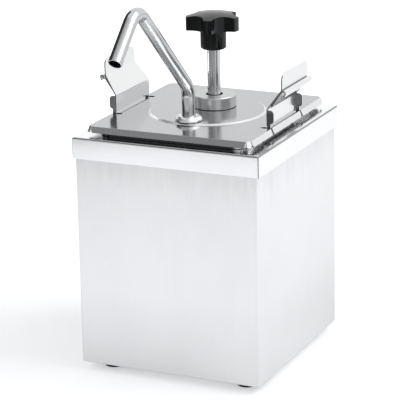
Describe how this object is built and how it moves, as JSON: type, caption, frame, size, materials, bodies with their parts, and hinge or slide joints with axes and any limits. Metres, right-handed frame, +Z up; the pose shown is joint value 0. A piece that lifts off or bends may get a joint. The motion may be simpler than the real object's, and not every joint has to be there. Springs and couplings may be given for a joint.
{
  "type": "condiment dispenser",
  "caption": "Countertop condiment dispenser: a square metal housing with a lift-out pan, a latched lid, a plunger pump with a lobed knob and a bent discharge spout.",
  "frame": {"origin": "on the surface that the feet stand on, under the middle of the whole object's box", "axes": "+Z up, -Y towards the front, where the spout points, +X to the right seen from the front"},
  "size_m": [0.1918, 0.2956, 0.3716],
  "materials": {
    "housing_steel": "vertically brushed stainless steel",
    "bright_steel": "polished stainless steel",
    "knob_plastic": "glossy black moulded plastic",
    "foot_rubber": "matt black rubber",
    "white_plastic": "natural acetal",
    "seal_silicone": "translucent grey silicone"
  },
  "bodies": {
    "housing": {"housing_shell": "housing_steel", "base_panel": "housing_steel", "top_frame": "housing_steel", "foot_front_left": "foot_rubber", "foot_screw_front_left": "bright_steel", "foot_nut_front_left": "bright_steel", "foot_rear_left": "foot_rubber", "foot_screw_rear_left": "bright_steel", "foot_nut_rear_left": "bright_steel", "foot_front_right": "foot_rubber", "foot_screw_front_right": "bright_steel", "foot_nut_front_right": "bright_steel", "foot_rear_right": "foot_rubber", "foot_screw_rear_right": "bright_steel", "foot_nut_rear_right": "bright_steel"},
    "pan": {"inset_pan": "bright_steel"},
    "lid": {"lid_plate": "bright_steel", "hinge_barrel_right": "bright_steel", "hinge_pin_right": "bright_steel", "hinge_barrel_left": "bright_steel", "hinge_pin_left": "bright_steel", "cylinder_cap": "bright_steel", "rod_bush": "white_plastic", "pump_gasket": "seal_silicone", "pump_cylinder": "bright_steel", "spring_seat": "bright_steel", "inlet_valve_body": "bright_steel", "pump_foot": "bright_steel", "return_spring": "bright_steel", "outlet_valve_seat": "bright_steel", "discharge_pipe": "bright_steel", "spout_nut": "bright_steel", "spout_ferrule": "bright_steel", "discharge_spout": "bright_steel"},
    "latch_right": {"latch_lever_right": "bright_steel", "latch_grip_right": "bright_steel"},
    "latch_left": {"latch_lever_left": "bright_steel", "latch_grip_left": "bright_steel"},
    "piston": {"piston_head": "white_plastic", "piston_seal": "seal_silicone"},
    "plunger": {"plunger_rod": "bright_steel", "knob_stud": "bright_steel", "star_knob": "knob_plastic"},
    "inlet_check": {"inlet_ball": "bright_steel"},
    "outlet_check": {"outlet_ball": "bright_steel"}
  },
  "joints": [
    {"name": "pan_lift", "type": "slide", "parent": "housing", "child": "pan", "axis": [0, 0, 1], "range_m": [0, 0.215]},
    {"name": "lid_lift", "type": "slide", "parent": "pan", "child": "lid", "axis": [0, 0, 1], "range_m": [0, 0.21]},
    {"name": "plunger_slide", "type": "slide", "parent": "lid", "child": "piston", "axis": [0, 0, -1], "range_m": [0, 0.038], "stiffness_N_per_m": 400, "springref_m": -0.03, "deforming": ["return_spring"]},
    {"name": "plunger_turn", "type": "hinge", "parent": "piston", "child": "plunger", "pos_m": [0, 0.06379, 0.27], "axis": [0, 0, 1], "continuous": true},
    {"name": "latch_right_hinge", "type": "hinge", "parent": "lid", "child": "latch_right", "pos_m": [0.08, 0.04429, 0.2387], "axis": [0, 1, 0], "range_deg": [-18, 35]},
    {"name": "latch_left_hinge", "type": "hinge", "parent": "lid", "child": "latch_left", "pos_m": [-0.08, 0.04429, 0.2387], "axis": [0, -1, 0], "range_deg": [-18, 35]},
    {"name": "inlet_ball_lift", "type": "slide", "parent": "lid", "child": "inlet_check", "axis": [0, 0, 1], "range_m": [0, 0.003]},
    {"name": "outlet_ball_lift", "type": "slide", "parent": "lid", "child": "outlet_check", "axis": [0, 0, 1], "range_m": [0, 0.003]}
  ]
}
